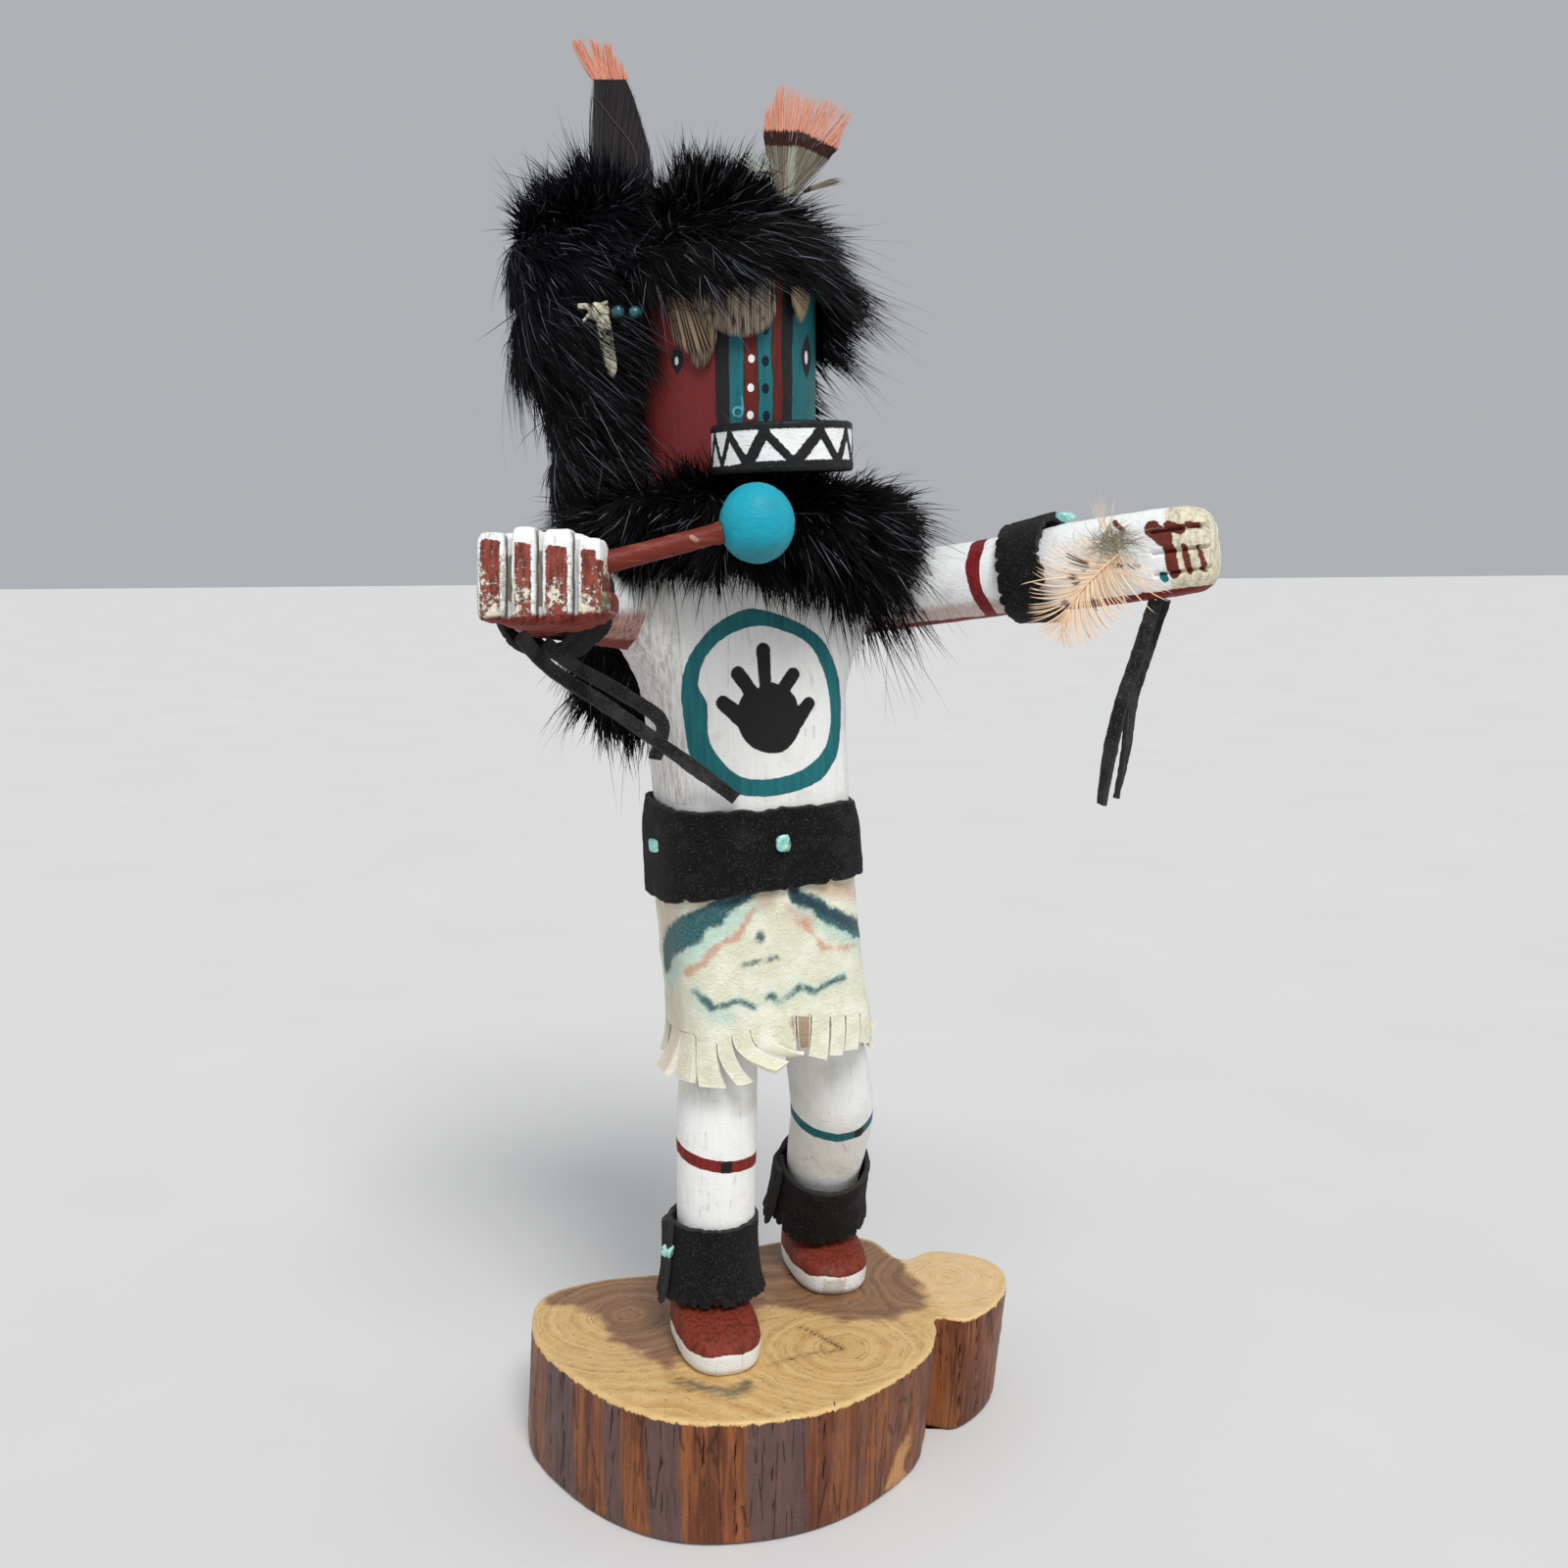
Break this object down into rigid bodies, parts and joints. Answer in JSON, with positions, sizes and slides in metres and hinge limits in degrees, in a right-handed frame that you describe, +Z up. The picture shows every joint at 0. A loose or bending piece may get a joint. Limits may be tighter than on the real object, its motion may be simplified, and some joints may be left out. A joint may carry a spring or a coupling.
{
  "type": "kachina doll",
  "caption": "Carved and painted wooden kachina doll with a cylinder mask, fur wig and collar, suede kilt, cuffs and rattle, striding on a slice of log.",
  "frame": {"origin": "on the flat underside of the log slice, near the middle of its outline", "axes": "+Z up from the log through the doll to the feathers, -Y the way the doll's chest faces, +X towards the doll's left hand"},
  "size_m": [0.1475, 0.0968, 0.3076],
  "materials": {
    "log wood": "oiled log slice with bark-stained, lightly glossy sides",
    "white paint": "matt white acrylic on carved wood, grain and knife marks showing",
    "mask paint": "matt acrylic stripes in dull red, teal, maroon and black on turned wood",
    "mouth disc paint": "white acrylic with a thick black zigzag, rough",
    "red brown paint": "matt red brown acrylic on a round stick",
    "turquoise paint": "matt turquoise acrylic, pitted",
    "black suede": "black suede with a raised nap",
    "cream suede": "soft cream suede, airbrushed and fringed",
    "black fur": "dyed black rabbit fur with long guard hairs",
    "black feather": "black feather with a pale pink tip",
    "grey feather": "olive grey feather with a dark band and cream tips",
    "pale feather": "cream and tan feather with brown bars",
    "turquoise stone": "small broken turquoise chips and beads, satin"
  },
  "bodies": {
    "root": {"base": "log wood", "body": "white paint", "head": "mask paint", "mouth_disc": "mouth disc paint", "right_arm": "white paint", "left_arm": "white paint", "rattle_stick": "red brown paint", "rattle_ball": "turquoise paint", "belt": "black suede", "kilt": "cream suede", "right_wrist_cuff": "black suede", "left_wrist_cuff": "black suede", "right_ankle_cuff": "black suede", "left_ankle_cuff": "black suede", "fur_wig": "black fur", "fur_collar": "black fur", "black_feather": "black feather", "fan_feather": "grey feather", "hand_feather": "pale feather", "brow_feather_barred": "pale feather", "brow_feather_round": "pale feather", "brow_feather_tan": "pale feather", "ear_tie": "cream suede", "ear_bead_outer": "turquoise stone", "ear_bead_inner": "turquoise stone", "belt_chip_front": "turquoise stone", "belt_chip_side": "turquoise stone", "ankle_chip": "turquoise stone", "wrist_chip": "turquoise stone", "right_thong_front": "black suede", "right_thong_back": "black suede", "left_thong_front": "black suede", "left_thong_back": "black suede"}
  },
  "joints": []
}
